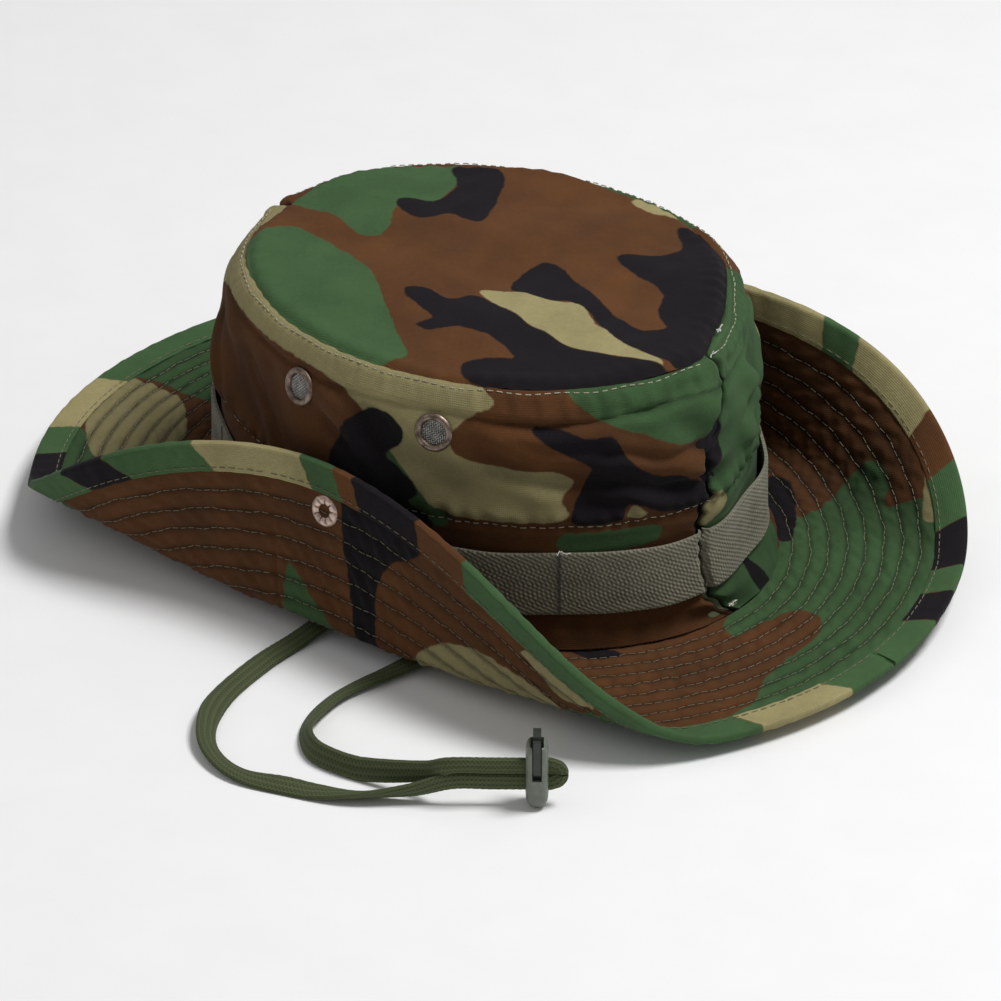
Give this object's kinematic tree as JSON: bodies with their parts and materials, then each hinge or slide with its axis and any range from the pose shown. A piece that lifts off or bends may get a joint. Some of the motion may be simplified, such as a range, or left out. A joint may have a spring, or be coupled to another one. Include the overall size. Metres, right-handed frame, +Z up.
{
  "type": "boonie hat",
  "caption": "Oval-crowned cloth sun hat with a quilted brim snapped up at the sides, screened vents, branch loop band, chin cord and cord lock.",
  "frame": {"origin": "centre of the head opening, at the joint between the crown and the brim", "axes": "+Z up through the crown, +X to the hat's front, -Y to the wearer's right; the sides folded up are at -Y and +Y"},
  "size_m": [0.3222, 0.2782, 0.1004],
  "materials": {
    "brown_cloth": "matt cotton ripstop, brown ground of a woodland print",
    "green_cloth": "matt cotton ripstop, green ground of a woodland print",
    "tan_cloth": "matt cotton tape, tan patches of a woodland print",
    "webbing": "ribbed woven tape, grey olive",
    "cord": "braided tubular cord, dark olive",
    "lock_plastic": "moulded nylon, grey olive",
    "bronze": "dull darkened brass",
    "steel": "dull nickel plate and fine wire screen"
  },
  "bodies": {
    "hat": {"crown_top": "brown_cloth", "brim_upper_front": "brown_cloth", "brim_under_front": "brown_cloth", "crown_side_right": "green_cloth", "crown_side_left": "green_cloth", "crown_top_seam_tape": "green_cloth", "sweatband": "green_cloth", "brim_upper_rear": "green_cloth", "brim_under_rear": "green_cloth", "brim_binding_front": "green_cloth", "brim_binding_rear": "tan_cloth", "branch_loop_band": "webbing", "chin_cord_end_right": "cord", "chin_cord_end_left": "cord", "snap_right_stud": "steel", "snap_right_post": "bronze", "vent_right_front_eyelet": "bronze", "vent_right_front_screen": "steel", "vent_right_front_washer": "steel", "vent_right_rear_eyelet": "bronze", "vent_right_rear_screen": "steel", "vent_right_rear_washer": "steel", "snap_left_stud": "steel", "snap_left_post": "bronze", "vent_left_front_eyelet": "bronze", "vent_left_front_screen": "steel", "vent_left_front_washer": "steel", "vent_left_rear_eyelet": "bronze", "vent_left_rear_screen": "steel", "vent_left_rear_washer": "steel"},
    "right_side": {"right_side_upper_front": "brown_cloth", "right_side_upper_rear": "green_cloth", "right_side_under_front": "brown_cloth", "right_side_under_rear": "green_cloth", "right_side_binding_front": "tan_cloth", "right_side_binding_rear": "tan_cloth", "snap_right_socket": "steel", "snap_right_ring": "bronze"},
    "left_side": {"left_side_upper_front": "brown_cloth", "left_side_upper_rear": "green_cloth", "left_side_under_front": "brown_cloth", "left_side_under_rear": "green_cloth", "left_side_binding_front": "tan_cloth", "left_side_binding_rear": "tan_cloth", "snap_left_socket": "steel", "snap_left_ring": "bronze"},
    "chin_cord": {"chin_cord_loop": "cord"},
    "cord_lock": {"cord_lock_barrel": "lock_plastic", "cord_lock_spring": "steel"},
    "lock_plunger": {"cord_lock_plunger": "lock_plastic"}
  },
  "joints": [
    {"name": "right_side_fold", "type": "hinge", "parent": "hat", "child": "right_side", "pos_m": [0, -0.095, 0.006], "axis": [1, 0, 0], "range_deg": [0, 80]},
    {"name": "left_side_fold", "type": "hinge", "parent": "hat", "child": "left_side", "pos_m": [0, 0.095, 0.006], "axis": [-1, 0, 0], "range_deg": [0, 80]},
    {"name": "chin_cord_swing", "type": "hinge", "parent": "hat", "child": "chin_cord", "pos_m": [0, -0.0839, -0.0062], "axis": [1, 0, 0], "range_deg": [0, 90]},
    {"name": "cord_lock_slide", "type": "slide", "parent": "chin_cord", "child": "cord_lock", "axis": [-0.7986, -0.6018, 0], "range_m": [0, 0.02]},
    {"name": "cord_lock_press", "type": "slide", "parent": "cord_lock", "child": "lock_plunger", "axis": [0, 0, -1], "range_m": [0, 0.0018], "stiffness_N_per_m": 300, "springref_m": -0.002, "deforming": ["cord_lock_spring"]}
  ]
}
